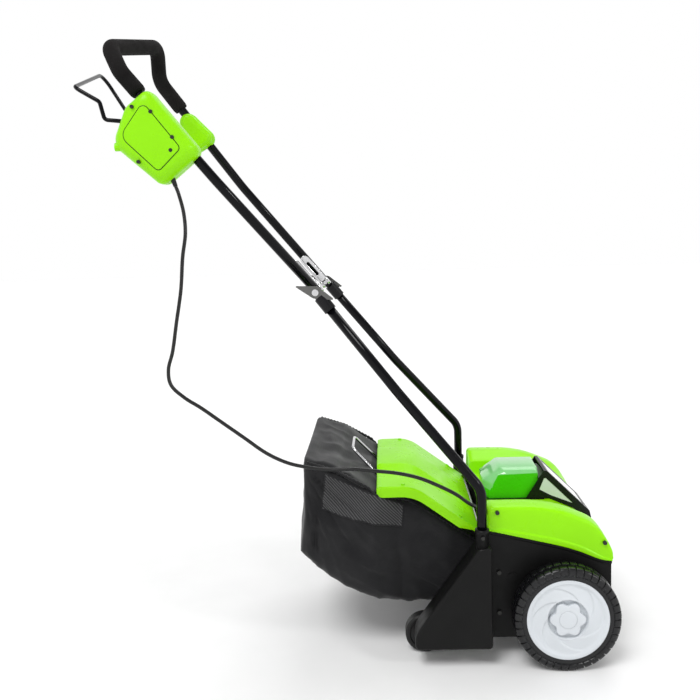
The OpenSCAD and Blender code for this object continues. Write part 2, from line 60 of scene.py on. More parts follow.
AXLE_Z = 100               # the front axle's height, in millimetres
NEAR, FAR = -1, 1          # the machine's right and left sides


def at(x, y, z):
    """A point in millimetres from the front axle line, on the ground."""
    return Vector((AXLE_X + x * MM, y * MM, z * MM))


# ---------------------------------------------------------------- camera
LENS = 41.0                # millimetres, on a 36 mm sensor
EYE = (-325, -1690, 845)   # the camera, in millimetres from the axle line
TURN, TILT, ROLL = 1.4, 5.6, 1.6   # degrees: to the machine's front, down, and clockwise


def make_camera():
    """Level with the grip, on the machine's right, turned and rolled by a few degrees."""
    azimuth, elevation, roll = (math.radians(a) for a in (TURN, TILT, ROLL))
    forward = Vector((-math.sin(azimuth) * math.cos(elevation), math.cos(azimuth) * math.cos(elevation),
                      -math.sin(elevation)))
    level = Vector((math.cos(azimuth), math.sin(azimuth), 0))
    down = forward.cross(level)
    right = math.cos(roll) * level + math.sin(roll) * down
    up = math.sin(roll) * level - math.cos(roll) * down
    data = bpy.data.cameras.new("camera")
    data.sensor_width, data.lens = 36, LENS
    data.shift_x, data.shift_y = -0.023, -0.069
    camera = bpy.data.objects.new("camera", data)
    bpy.context.scene.collection.objects.link(camera)
    turn = Matrix((right, up, -forward)).transposed().to_4x4()
    camera.matrix_world = Matrix.Translation(at(*EYE)) @ turn
    bpy.context.scene.camera = camera


make_camera()


# ---------------------------------------------------------------- mesh helpers
def add(name, verts, faces, smooth=True):
    mesh = bpy.data.meshes.new(name)
    mesh.from_pydata([tuple(v) for v in verts], [], faces)
    obj = bpy.data.objects.new(name, mesh)
    bpy.context.scene.collection.objects.link(obj)
    bm = bmesh.new()
    bm.from_mesh(mesh)
    bmesh.ops.recalc_face_normals(bm, faces=bm.faces)
    bm.to_mesh(mesh)
    bm.free()
    for p in mesh.polygons:
        p.use_smooth = smooth
    return obj


def grid(name, rows, close_u=False, close_v=False, caps=False):
    """A mesh through rows of points; close_v joins each row's ends and close_u the last row to the first."""
    n, m = len(rows), len(rows[0])
    verts = [p for row in rows for p in row]
    faces = []
    for i in range(n if close_u else n - 1):
        for j in range(m if close_v else m - 1):
            a, b = (i + 1) % n, (j + 1) % m
            faces.append((i * m + j, i * m + b, a * m + b, a * m + j))
    if caps:
        faces += [tuple(range(m)), tuple((n - 1) * m + j for j in range(m))]
    return add(name, verts, faces)


def modifier(obj, kind, **values):
    mod = obj.modifiers.new(kind.title(), kind)
    for key, value in values.items():
        setattr(mod, key, value)
    return mod


def crisp(obj):
    """Flat faces stay flat and rounded edges stay round."""
    modifier(obj, "WEIGHTED_NORMAL", keep_sharp=True, weight=60)
    return obj


def bent(route, radii, step=7.0):
    """The centre line of a bent bar, in millimetres: a route's points with a radius at each bend."""
    pts = [Vector(p) for p in route]
    line = [pts[0]]
    for i in range(1, len(pts) - 1):
        u, v = (pts[i] - pts[i - 1]).normalized(), (pts[i + 1] - pts[i]).normalized()
        angle = u.angle(v)
        n = u.cross(v).normalized()
        side = n.cross(u)
        centre = pts[i] - u * radii[i] * math.tan(angle / 2) + side * radii[i]
        steps = max(3, math.ceil(math.degrees(angle) / step))
        for k in range(steps + 1):
            a = angle * k / steps
            line.append(centre + radii[i] * (math.sin(a) * u - math.cos(a) * side))
    return line + [pts[-1]]


def smooth_line(points, steps):
    """A curve through every point, with a few steps between neighbours."""
    p = [Vector(q) for q in points]
    n, line = len(p) - 1, []
    for i in range(n):
        a, b, c, d = p[max(0, i - 1)], p[i], p[i + 1], p[min(n, i + 2)]
        for k in range(steps):
            t = k / steps
            line.append(0.5 * (2 * b + (c - a) * t + (2 * a - 5 * b + 4 * c - d) * t * t
                               + (3 * b - a - 3 * c + d) * t ** 3))
    return line + [p[n]]


def tube(name, line, radius, sides=32, caps=True):
    """A round bar along a line of points in millimetres; radius is a number or one for each point."""
    pts = [Vector(p) for p in line]
    radii = radius if isinstance(radius, (list, tuple)) else [radius] * len(pts)
    rows, up = [], None
    for i, p in enumerate(pts):
        t = (pts[min(i + 1, len(pts) - 1)] - pts[max(i - 1, 0)]).normalized()
        if up is None:
            up = t.orthogonal().normalized()
        up = (up - t * up.dot(t)).normalized()
        side = t.cross(up)
        ring = [p + radii[i] * (math.cos(a) * up + math.sin(a) * side)
                for a in (2 * math.pi * k / sides for k in range(sides))]
        rows.append([at(*q) for q in ring])
    return grid(name, rows, close_v=True, caps=caps)


def lathe(name, profile, side, steps=96):
    """A turned piece about the front axle line; profile is [radius, |y|]."""
    rows = []
    for k in range(steps):
        a = 2 * math.pi * k / steps
        rows.append([at(r * math.cos(a), side * y, AXLE_Z + r * math.sin(a)) for r, y in profile])
    return grid(name, rows, close_u=True)


def round_corners(points, radius, steps=5, closed=True):
    """A side-view outline with its corners rounded; radius is a number or one for each corner."""
    n, out = len(points), []
    for i, p in enumerate(points):
        r = radius[i] if isinstance(radius, (list, tuple)) else radius
        if not closed and i in (0, n - 1) or r == 0:
            out.append(Vector(p))
            continue
        p, a, b = Vector(p), Vector(points[i - 1]), Vector(points[(i + 1) % n])
        ra, rb = min(r, (a - p).length * 0.45), min(r, (b - p).length * 0.45)
        s, e = p + (a - p).normalized() * ra, p + (b - p).normalized() * rb
        for k in range(steps + 1):
            t = k / steps
            out.append((1 - t) ** 2 * s + 2 * t * (1 - t) * p + t * t * e)
    return out


def resample(points, count, closed=False):
    """The same line or outline with evenly spaced points."""
    p = [Vector(q) for q in points] + ([Vector(points[0])] if closed else [])
    lengths = [0.0]
    for a, b in zip(p, p[1:]):
        lengths.append(lengths[-1] + (b - a).length)
    out, k = [], 0
    for i in range(count):
        want = lengths[-1] * i / (count if closed else count - 1)
        while k < len(p) - 2 and lengths[k + 1] < want:
            k += 1
        span = lengths[k + 1] - lengths[k] or 1.0
        out.append(p[k].lerp(p[k + 1], (want - lengths[k]) / span))
    return out


def hull_outline(lobes, inset=0.0, count=96):
    """The outline round several circles [x, z, radius] in the side view, moved inward by inset."""
    out = []
    for k in range(count):
        a = 2 * math.pi * k / count
        u = Vector((math.cos(a), math.sin(a)))
        best = max(lobes, key=lambda c: c[0] * u.x + c[1] * u.y + c[2])
        out.append(Vector(best[:2]) + u * (best[2] - inset))
    return out


def inset_outline(points, d):
    """An outline moved inward by d, for outlines with rounded corners."""
    area = sum(a.x * b.y - b.x * a.y for a, b in zip(points, points[1:] + points[:1]))
    sign = 1 if area > 0 else -1
    out, n = [], len(points)
    for i, p in enumerate(points):
        u = (points[(i + 1) % n] - points[i - 1])
        u = u.normalized() if u.length > 1e-6 else Vector((1, 0))
        out.append(p + sign * d * Vector((-u.y, u.x)))
    return out


def close_rings(obj, count, firsts):
    """Flat faces over rings of count vertices, each ring given by its first vertex."""
    bm = bmesh.new()
    bm.from_mesh(obj.data)
    bm.verts.ensure_lookup_table()
    for first in firsts:
        bm.faces.new([bm.verts[i] for i in range(first, first + count)])
    bmesh.ops.recalc_face_normals(bm, faces=bm.faces)
    bm.to_mesh(obj.data)
    bm.free()
    for p in obj.data.polygons:
        p.use_smooth = True


def stack(name, layers, closed0=True):
    """Side-view outlines [(outline, y)] joined into a skin, with a flat last end and, by closed0, first end."""
    rows = [[at(p.x, y, p.y) for p in outline] for outline, y in layers]
    obj = grid(name, rows, close_v=True)
    count = len(rows[0])
    close_rings(obj, count, [(len(rows) - 1) * count] + ([0] if closed0 else []))
    return crisp(obj)


def domed(outline, y, rise):
    """Layers from an outline to its middle, rising a little."""
    centre = sum(outline, Vector((0, 0))) / len(outline)
    return [([centre + (p - centre) * s for p in outline], y + rise * (1 - s * s))
            for s in (0.97, 0.9, 0.7, 0.45, 0.2)]


def rounded_slab(name, shape, y0, y1, edge0, edge1, crown=0.0, rings=6, open0=False):
    """A solid from y0 to y1 with rounded rims; shape(d) is its outline moved in by d, and crown swells y1."""
    way = 1 if y1 > y0 else -1
    quarter = [math.pi / 2 * k / rings for k in range(rings + 1)]
    if open0:
        layers = [(shape(0), y0)]
    else:
        layers = [(shape(edge0 * (1 - math.sin(a))), y0 + way * edge0 * (1 - math.cos(a))) for a in quarter]
    layers += [(shape(edge1 * (1 - math.cos(a))), y1 - way * edge1 * (1 - math.sin(a))) for a in quarter]
    return stack(name, layers + domed(shape(edge1), y1, way * crown), closed0=not open0)


def join(name, pieces):
    """Several new pieces made into one."""
    bm = bmesh.new()
    for o in pieces:
        start = len(bm.verts)
        bm.from_mesh(o.data)
        bm.verts.ensure_lookup_table()
        for v in bm.verts[start:]:
            v.co = o.matrix_world @ v.co
    mesh = bpy.data.meshes.new(name)
    bm.to_mesh(mesh)
    bm.free()
    obj = bpy.data.objects.new(name, mesh)
    bpy.context.scene.collection.objects.link(obj)
    for o in pieces:
        bpy.data.objects.remove(o)
    for p in mesh.polygons:
        p.use_smooth = True
    return obj


# ---------------------------------------------------------------- materials
def principled(name, colour, roughness, **inputs):
    mat = bpy.data.materials.new(name)
    mat.use_nodes = True
    tree = mat.node_tree
    shader = tree.nodes["Principled BSDF"]
    shader.inputs["Base Color"].default_value = (*colour, 1)
    shader.inputs["Roughness"].default_value = roughness
    for key, value in inputs.items():
        shader.inputs[key.replace("_", " ")].default_value = value
    return mat, tree, shader


def node(tree, kind, **values):
    made = tree.nodes.new(kind)
    for key, value in values.items():
        if key in made.inputs:
            made.inputs[key].default_value = value
        else:
            setattr(made, key, value)
    return made


def noise_of(tree, scale, detail=4.0):
    place = node(tree, "ShaderNodeTexCoord")
    made = node(tree, "ShaderNodeTexNoise")
    made.inputs["Scale"].default_value, made.inputs["Detail"].default_value = scale, detail
    tree.links.new(place.outputs["Object"], made.inputs["Vector"])
    return made.outputs["Fac"]


def spread(tree, fac, low, high):
    """A grey or colour that runs from low to high as fac goes from 0.35 to 0.65."""
    ramp = node(tree, "ShaderNodeValToRGB")
    for e, p, c in zip(ramp.color_ramp.elements, (0.35, 0.65), (low, high)):
        e.position = p
        e.color = (*c, 1) if isinstance(c, tuple) else (c, c, c, 1)
    tree.links.new(fac, ramp.inputs["Fac"])
    return ramp.outputs["Color"]


def bump(tree, shader, height, distance, strength=1.0):
    made = node(tree, "ShaderNodeBump")
    made.inputs["Distance"].default_value, made.inputs["Strength"].default_value = distance, strength
    tree.links.new(height, made.inputs["Height"])
    tree.links.new(made.outputs["Normal"], shader.inputs["Normal"])


def moulded(name, colour, roughness, grain=900, depth=0.00003, shade=0.08, **inputs):
    """Moulded or painted finish: a little colour and gloss variation, and a fine grain."""
    mat, tree, shader = principled(name, colour, roughness, **inputs)
    low = tuple(c * (1 - shade) for c in colour)
    high = tuple(min(1, c * (1 + shade)) for c in colour)
    tree.links.new(spread(tree, noise_of(tree, 9), low, high), shader.inputs["Base Color"])
    tree.links.new(spread(tree, noise_of(tree, 40), roughness * 0.88, min(1, roughness * 1.12)),
                   shader.inputs["Roughness"])
    bump(tree, shader, noise_of(tree, grain, 2), depth)
    return mat


def woven(name, dark, light, scale, depth, net=False):
    """Cloth with a diagonal weave, or a net with fine diagonal cords, dusty in places."""
    mat, tree, shader = principled(name, dark, 0.8, Sheen_Weight=0.15, Specular_IOR_Level=0.25)
    place = node(tree, "ShaderNodeTexCoord")
    waves = []
    for turn in (0.7, 0.7) if net else (0.7, -0.7):
        spin = node(tree, "ShaderNodeMapping")
        spin.inputs["Rotation"].default_value = (0, turn, 0)
        wave = node(tree, "ShaderNodeTexWave", wave_type="BANDS", bands_direction="X")
        wave.inputs["Scale"].default_value, wave.inputs["Distortion"].default_value = scale, 0.3
        tree.links.new(place.outputs["Object"], spin.inputs["Vector"])
        tree.links.new(spin.outputs["Vector"], wave.inputs["Vector"])
        waves.append(wave.outputs["Fac"])
    mix = node(tree, "ShaderNodeMath", operation="MULTIPLY")
    tree.links.new(waves[0], mix.inputs[0])
    tree.links.new(waves[1], mix.inputs[1])
    tree.links.new(spread(tree, mix.outputs[0], dark, light), shader.inputs["Base Color"])
    tree.links.new(spread(tree, noise_of(tree, 14), 0.7 if net else 0.5, 0.85), shader.inputs["Roughness"])
    bump(tree, shader, mix.outputs[0], depth)
    return mat


LIME = moulded("lime_plastic", (0.27, 0.74, 0.001), 0.3, depth=0.00001, shade=0.03,
               Specular_IOR_Level=0.2)
GREEN = moulded("battery_green", (0.05, 0.5, 0.003), 0.28, depth=0.00001, shade=0.05, Specular_IOR_Level=0.35,
                Coat_Weight=0.15)
# The battery top: its own light green, greyed by a painted reflection sheen.
PALE_TOP_WITH_SHEEN = moulded("battery_top_painted_sheen", (0.2, 0.55, 0.2), 0.16, depth=0.00001, shade=0.06, Coat_Weight=0.6)
HOUSING = moulded("black_housing", (0.006, 0.006, 0.006), 0.42, depth=0.00006, shade=0.2,
                  Specular_IOR_Level=0.14)
DARK = moulded("dark_plastic", (0.005, 0.005, 0.006), 0.26, shade=0.15, Specular_IOR_Level=0.22)
PANE = moulded("clear_pane", (0.6, 0.61, 0.61), 0.12, depth=0.00001, Coat_Weight=0.6)
TUBE = moulded("tube_black", (0.002, 0.002, 0.003), 0.13, depth=0.00001, shade=0.2,
               Specular_IOR_Level=0.16)
FOAM = moulded("foam", (0.009, 0.008, 0.008), 0.95, grain=1500, depth=0.0003, shade=0.3,
               Specular_IOR_Level=0.15)
STEEL = moulded("steel", (0.6, 0.6, 0.6), 0.3, Metallic=1.0)
ZINC = moulded("zinc", (0.62, 0.62, 0.63), 0.14, depth=0.00001, Metallic=1.0)
DARK_STEEL = moulded("dark_steel", (0.03, 0.03, 0.028), 0.4, Metallic=0.6)
PLATE = moulded("plate_steel", (0.13, 0.13, 0.125), 0.34, depth=0.00002, Metallic=0.75)
CAST = moulded("cast", (0.42, 0.43, 0.44), 0.5, grain=400, depth=0.0001, Metallic=1.0)
TYRE = moulded("tyre", (0.005, 0.005, 0.006), 0.3, grain=600, depth=0.00008, shade=0.25, Specular_IOR_Level=0.4)
RIM_GREY = moulded("rim_grey", (0.6, 0.63, 0.66), 0.38, depth=0.00002, shade=0.03,
                   Specular_IOR_Level=0.4)
RUBBER = moulded("rubber", (0.008, 0.008, 0.008), 0.5, shade=0.2, Specular_IOR_Level=0.3)
BOARD = moulded("board", (0.02, 0.07, 0.04), 0.5, shade=0.3)
CABLE = moulded("cable_black", (0.006, 0.006, 0.006), 0.28, shade=0.2, Specular_IOR_Level=0.4)
CLOTH = woven("bag_fabric", (0.004, 0.004, 0.005), (0.012, 0.012, 0.013), 160, 0.00015)
NET = woven("bag_mesh", (0.02, 0.02, 0.021), (0.075, 0.075, 0.077), 75, 0.0003, net=True)

SLOTS = {
    "black_housing": HOUSING, "lime_plastic": LIME, "battery_green": GREEN, "dark_plastic": DARK,
    "clear_pane": PANE, "tube_black": TUBE, "foam": FOAM, "steel": STEEL, "zinc": ZINC,
    "dark_steel": DARK_STEEL, "cast": CAST, "tyre": TYRE, "rim_grey": RIM_GREY, "rubber": RUBBER,
    "belt": RUBBER, "board": BOARD, "bag_fabric": CLOTH, "cable_black": CABLE}


def paint(obj, *mats):
    obj.data.materials.clear()
    for mat in mats:
        obj.data.materials.append(mat)
    return obj


for part in frame["record"]["subparts"]:
    paint(frame["nodes"][part["node"]], SLOTS[part["material_slot"]])
paint(frame["nodes"]["flap_screws"], LIME)
paint(frame["nodes"]["joint_plates"], PLATE)


def piece(obj, body, slot, mat, *nodes):
    """A finished piece: its material, the body that it rides on and the CAD nodes that it stands for."""
    paint(obj, mat)
    if nodes:
        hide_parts(*nodes)
    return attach(obj, body)


# ---------------------------------------------------------------- cable
CABLE_R = 3.5
CABLE_ROUTE = [
    (-720, -160, 925), (-715, -160, 910), (-705, -170, 875), (-700, -185, 835),
    (-705, -195, 790), (-710, -200, 730), (-720, -205, 670), (-730, -205, 615),
    (-740, -205, 580), (-735, -210, 550), (-710, -210, 525), (-680, -210, 505),
    (-640, -210, 475), (-600, -210, 445), (-560, -210, 415), (-520, -210, 395),
    (-480, -210, 385), (-440, -210, 380), (-395, -210, 380), (-350, -210, 375),
    (-310, -210, 370), (-270, -210, 360), (-235, -210, 345), (-200, -205, 325),
    (-175, -200, 305), (-150, -195, 290)]


def make_cable():
    """The lead from the switch box to the hood, held at both ends."""
    line = smooth_line(CABLE_ROUTE, 8)
    cable = tube("power_lead", line, CABLE_R, sides=14)
    paint(cable, CABLE)
    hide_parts("power_cable")
    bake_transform(cable)


make_cable()


# ---------------------------------------------------------------- handle
LOWER = [(-155, 240, 212), (-155, 240, 345), (-305, 185, 520), (-460, 147, 715)]
UPPER = [
    (-460, -123, 715), (-645, -150, 935), (-825, -128, 1150), (-850, -108, 1200),
    (-815, 108, 1245), (-820, 132, 1175), (-645, 150, 935), (-460, 123, 715)]
BARE_RIGHT, BARE_LEFT = 0.8, 0.74       # share of each upper arm below the grip
GRIP = [Vector(UPPER[1]).lerp(Vector(UPPER[2]), BARE_RIGHT), *UPPER[2:6],
        Vector(UPPER[6]).lerp(Vector(UPPER[5]), BARE_LEFT)]
BAIL = [
    (-742, -158, 1043), (-850, -158, 1055), (-860, -152, 1090), (-910, -145, 1120),
    (-940, 105, 1190), (-895, 118, 1110), (-850, 120, 1060), (-742, 120, 1043)]
TUBE_R, FOAM_R, BAIL_R = 9.5, 16.0, 4.0
HUB_R, HUB_HALF = 8, 4.6


def make_handle():
    for side, name in ((NEAR, "right"), (FAR, "left")):
        line = bent([(x, side * y, z) for x, y, z in LOWER], [0, 45, 150, 0])
        piece(tube(f"lower_bar_{name}", line, TUBE_R), "deck", "tube_black", TUBE, f"lower_tube_{name}")
    piece(tube("upper_loop", bent(UPPER, [0, 150, 60, 28, 28, 50, 150, 0]), TUBE_R),
          "upper_handle", "tube_black", TUBE, "upper_tube")
    rings = 160
    line = resample(bent(GRIP, [0, 60, 28, 28, 50, 0], step=4), rings)
    radii = [FOAM_R - 1.5 * (max(0, 1 - i / 2) + max(0, 1 - (rings - 1 - i) / 2)) for i in range(rings)]
    grip = tube("grip_sleeve", line, radii, sides=40)
    piece(grip, "upper_handle", "foam", FOAM, "grip_foam")
    hubs = [tube("hub", [(x, y - HUB_HALF, z), (x, y + HUB_HALF, z)], HUB_R)
            for x, y, z in (BAIL[0], BAIL[-1])]
    wire = tube("wire", bent(BAIL, [0, 10, 12, 22, 28, 30, 30, 0]), BAIL_R, sides=20)
    piece(join("bail_wire", [wire, *hubs]), "bail_lever", "dark_steel", TUBE, "bail")


make_handle()


# ---------------------------------------------------------------- quick-release levers
LEVER_PIN, LEVER_LEAN = (-460, 104, 715), math.radians(40)
LEVER_FROM, LEVER_END, LEVER_HALF = 6, 77.0, 9.8     # the blade's ends and half its width
SLOT_MID, SLOT_HALF, SLOT_R = 42.0, 19.0, 3.6


def on_lever(side, x, y, z):
    """A point from the lever's own directions: along its pin, outward, and up the blade."""
    c, s = math.cos(LEVER_LEAN), math.sin(LEVER_LEAN)
    return (LEVER_PIN[0] + x * c - z * s, side * (LEVER_PIN[1] + y), LEVER_PIN[2] + x * s + z * c)


def make_levers():
    """A pressed blade that curls inward at its round end, with a long slot, on a forked pin."""
    for side, name in ((NEAR, "right"), (FAR, "left")):
        pieces = []
        for hand in (-1, 1):
            rows = []
            for k in range(121):
                z = LEVER_FROM + (LEVER_END - LEVER_FROM) * k / 120
                past = max(0.0, z - (LEVER_END - LEVER_HALF)) / LEVER_HALF
                wide = LEVER_HALF * math.sqrt(max(0.0004, 1 - past ** 2))
                over = max(0.0, abs(z - SLOT_MID) - (SLOT_HALF - SLOT_R)) / SLOT_R
                slot = SLOT_R * math.sqrt(max(0.0, 1 - over ** 2))
                curl = -1.5 - 6.0 * (max(0.0, z - 30) / 47) ** 2
                across = [(slot + (wide - slot) * j / 6, curl - 0.9 * (j / 6) ** 4) for j in range(7)]
                rows.append([at(*on_lever(side, hand * x, y, z)) for x, y in across])
            pieces.append(grid("blade", rows))
            pieces.append(tube("knuckle", [on_lever(side, hand * x, 0, 0) for x in (4.8, 5.2, 9.4, 9.8)],
                               [7.4, 8.2, 8.2, 7.4], sides=40))
        lever = join(f"lever_blade_{name}", pieces)
        bm = bmesh.new()
        bm.from_mesh(lever.data)
        bmesh.ops.remove_doubles(bm, verts=bm.verts, dist=0.00002)
        bmesh.ops.recalc_face_normals(bm, faces=bm.faces)
        bm.to_mesh(lever.data)
        bm.free()
        modifier(lever, "SOLIDIFY", thickness=0.0016, offset=0)
        piece(crisp(lever), f"lever_{name}", "zinc", ZINC, f"cam_lever_{name}")


make_levers()

# ---------------------------------------------------------------- switch box
BOX_LOBES = [(-765, 1090, 15), (-785, 1060, 26), (-798, 1015, 31), (-742, 948, 18), (-690, 990, 18),
             (-724, 1042, 13)]
PANEL_LOBES = [(-768, 1064, 11), (-788, 1022, 20), (-745, 965, 9), (-713, 996, 9)]
HOUSING_LOBES = [(-757, 1082, 18), (-722, 1046, 18), (-750, 1030, 18)]


def pillow(name, outer, inner, seam, side, face, crown, steps=12):
    """A moulded half: short straight sides, a wide round up to the inner outline, and a crowned face."""
    way = 1 if face > seam else -1
    layers = [(hull_outline(outer, 0.8), seam), (hull_outline(outer), seam + way * 0.8)]
    rim, top = hull_outline(outer), hull_outline(inner)
    for k in range(steps + 1):
        a = math.pi / 2 * k / steps
        layers.append(([p.lerp(q, 1 - math.cos(a)) for p, q in zip(rim, top)],
                       side + (face - side) * math.sin(a)))
    return stack(name, layers + domed(top, face, way * crown))


def make_boxes():
    outer = pillow("box_cover_outer", BOX_LOBES, PANEL_LOBES, -154.4, -162, -184, 0.6)
    piece(outer, "upper_handle", "lime_plastic", LIME, "switch_box_outer")
    core = [(x, z, r - 10) for x, z, r in BOX_LOBES[:4]] + [(-700, 996, 8), (-732, 1036, 4)]
    inner = pillow("box_cover_inner", BOX_LOBES, core, -153.6, -144, -119, 0.6)
    piece(inner, "upper_handle", "lime_plastic", LIME, "switch_box_inner")
    panel = rounded_slab("box_panel", lambda d: hull_outline(PANEL_LOBES, d + 0.7), -183, -185.6, 0.3, 1.4,
                         crown=0.5)
    piece(panel, "upper_handle", "lime_plastic", LIME)
    line = [(p.x, -183.9, p.y) for p in hull_outline(PANEL_LOBES)]
    seam = tube("box_panel_seam", line + line[:2], 0.75, sides=8, caps=False)
    piece(seam, "upper_handle", "dark_plastic", DARK)
    far = rounded_slab("bail_cover", lambda d: hull_outline(HOUSING_LOBES, d), 106, 160, 12, 12, crown=1.5)
    piece(far, "upper_handle", "lime_plastic", LIME, "bail_housing")
    for y in (122, 134):
        rib = rounded_slab("bail_cover_rib", lambda d: hull_outline(HOUSING_LOBES, d - 1.6), y, y + 6, 2.5, 2.5)
        piece(rib, "upper_handle", "lime_plastic", LIME)


make_boxes()

# ---------------------------------------------------------------- hood
HOOD_TOP = [(-140, 254), (-140, 300), (-20, 300), (70, 262), (99, 212), (99, 195)]
HOOD_ROUNDS = [0, 10, 60, 24, 24, 0]
HOOD_LOW = [(-140, 254), (20, 216), (75, 192), (96, 190)]
FENDER_IN, SKIRT_Y = 128, 212
# The skirt's section: how far in from the skirt, and the share of its height. A lip runs along its foot,
# and a crease along its shoulder.
SKIRT = [(1, 0.0), (0, 0.015), (0, 0.13), (0.3, 0.15), (2, 0.175), (2.2, 0.2), (2.5, 0.45), (2.8, 0.7),
         (3.2, 0.87), (4.5, 0.93), (8, 0.965), (14, 0.985), (24, 0.997), (34, 1.0), (42, 1.0)]


def trough_z(x):
    """The height of the trough's floor along the machine."""
    return float(np.interp(x, (-141, 10, 60, 97), (258, 258, 236, 206)))


def make_hood():
    stations = 70
    top = resample(round_corners(HOOD_TOP, HOOD_ROUNDS, closed=False), stations)
    low = resample(round_corners(HOOD_LOW, [0, 40, 20, 0], closed=False), stations)
    rows = []
    for t, b in zip(top, low):
        half = [(SKIRT_Y - d, b.lerp(t, s)) for d, s in SKIRT]
        floor = min(trough_z(t.x), t.y - 0.5)
        for y, drop in ((160, 4), (145, 9), (FENDER_IN + 5, 13), (FENDER_IN + 2, 16)):
            half.append((y, Vector((t.x, max(floor, t.y - drop)))))
        half += [(FENDER_IN, Vector((t.x, max(floor, min(floor + 2, t.y - 17))))),
                 (FENDER_IN - 4, Vector((t.x, floor))), (60, Vector((t.x, floor)))]
        rows.append([at(p.x, -y, p.y) for y, p in half] + [at(p.x, y, p.y) for y, p in reversed(half)])
    hood = grid("hood_shell", rows)
    modifier(hood, "SOLIDIFY", thickness=0.001, offset=-1)
    piece(crisp(hood), "deck", "lime_plastic", LIME, "hood")
    for side, name in ((NEAR, "right"), (FAR, "left")):
        line = resample([Vector((p.x, p.y - 4)) for p in low], 60)
        lip = tube(f"deck_lip_{name}", [(p.x, side * 204.5, p.y) for p in line], 5, sides=16)
        piece(lip, "deck", "black_housing", HOUSING)


make_hood()


# ---------------------------------------------------------------- flap
FLAP_LINE = [(-352, 329), (-345, 332), (-280, 333), (-152, 240)]
# The flap's section: distance from the middle, and height over the shelf. The lip hangs below it.
FLAP_ACROSS = [(178, -21), (178, -4), (176.6, -0.9), (173, 0), (140, 0), (136, 0.6), (84, 0.6), (78, 1.4),
               (64, 10.6), (58, 12), (30, 12.6), (0, 12.8)]


def make_flap():
    """A pressed cover: a raised spine, shelves beside it and a lip down each side."""
    line = resample(round_corners(FLAP_LINE, [0, 6, 26, 0], closed=False), 170)
    rows = []
    for p in line:
        spine = max(0.0, min(1.0, (-156 - p.x) / 60))
        behind = min(1.0, 0.2 + max(0.0, p.x - FLAP_LINE[0][0]) / 17)       # the lip's rear corner is round
        lip = min(1.0, max(0.35, (FLAP_LINE[-1][0] - p.x) / 40)) * math.sqrt(1 - (1 - behind) ** 2)
        half = [(y, p.y + (h * lip if h < 0 else h * spine)) for y, h in FLAP_ACROSS]
        rows.append([at(p.x, -y, z) for y, z in half] + [at(p.x, y, z) for y, z in reversed(half[:-1])])
    flap = grid("flap_cover", rows)
    modifier(flap, "SOLIDIFY", thickness=0.003, offset=-1)
    piece(crisp(flap), "flap", "lime_plastic", LIME, "rear_flap")


make_flap()


# ---------------------------------------------------------------- battery
def make_battery():
    """A pack with a bevelled glossy top that overhangs its rear, and a green body; the top's pale grey-green is
    its own lighter plastic with a painted reflection sheen mixed in.
    """
    body = [(-115, 190), (-13, 190), (-13, 314), (-98, 311), (-108, 292), (-115, 273)]
    whole = [(-115, 190), (-13, 190), (-13, 323), (-92, 323), (-128, 297), (-128, 284)]
    side = resample(round_corners(body, [3, 3, 3, 3, 3, 3], steps=2), 150, closed=True)
    middle = resample(round_corners(whole, [3, 3, 3, 3, 3, 3], steps=2), 150, closed=True)
    layers = [(inset_outline(side, 2), -46), (side, -45), (middle, -35), (middle, 35), (side, 45),
              (inset_outline(side, 2), 46)]
    pack = stack("battery_case", layers)
    piece(pack, "battery_pack", "battery_green", GREEN, "battery")
    pack.data.materials.append(PALE_TOP_WITH_SHEEN)
    # Upward-facing and upper rear faces take the pale top colour, with its painted sheen.
    for p in pack.data.polygons:
        if p.normal.z > 0.3 or p.normal.x < -0.3 and p.center.z > 0.28:
            p.material_index = 1


make_battery()


# ---------------------------------------------------------------- rear pods
POD = [(-285, 38), (-138, 38), (-138, 236), (-162, 236), (-285, 68)]
SOCKET_X, SOCKET_Y = -155, 240


def make_pods():
    outline = resample(round_corners(POD, [10, 9, 6, 8, 20]), 140, closed=True)
    for side, name in ((NEAR, "right"), (FAR, "left")):
        shell = rounded_slab(f"pod_{name}", lambda d: inset_outline(outline, d), side * 205, side * 255, 0, 6,
                             open0=True)
        modifier(shell, "SOLIDIFY", thickness=0.003, offset=-1)
        collar = tube(f"pod_collar_{name}", [(SOCKET_X, side * SOCKET_Y, z) for z in (205, 262, 263, 269)],
                      [13.2, 12.6, 13.6, 13.4], sides=48)
        piece(collar, "deck", "black_housing", HOUSING)
        piece(shell, "deck", "black_housing", HOUSING, f"rear_pod_{name}")


make_pods()

# ---------------------------------------------------------------- front wheels
WHEEL_OUT, WHEEL_IN = 267, 225     # the wheel's faces, from the middle of the machine
LUGS = 40                          # on each shoulder; one shoulder's stand between the other's
DISH, CREST = 3.5, 1.9             # how far the rim's disc lies in, and the height of its vanes


def make_tyre(side, name):
    wall = [(77, 3), (83, 1), (91, 1.4), (95, 3.5), (97.4, 8)]
    base = [(r, WHEEL_IN + d) for r, d in wall] + [(r, WHEEL_OUT - d) for r, d in reversed(wall)]
    pieces = [lathe("base", base, side, 160)]
    lug = [(84.5, 0.7), (91, 0), (96.5, 1.6), (99.4, 5), (100, 9), (100, 20), (96, 20.5), (95, 8), (90, 3)]
    pitch = 2 * math.pi / LUGS
    for half in range(2):
        for k in range(LUGS):
            mid = pitch * (k + 0.5 * half)
            rows = []
            for a in (-0.43, -0.39, 0.0, 0.39, 0.43):
                tuck = 0.7 if abs(a) > 0.41 else 0.0
                ang = mid + a * pitch
                rows.append([at((r - tuck) * math.cos(ang), side * (WHEEL_OUT - d if half else WHEEL_IN + d),
                                AXLE_Z + (r - tuck) * math.sin(ang)) for r, d in lug])
            pieces.append(grid("lug", rows, close_v=True, caps=True))
    tyre = join(f"tyre_{name}", pieces)
    piece(crisp(tyre), f"wheel_front_{name}", "tyre", TYRE, f"front_tyre_{name}")


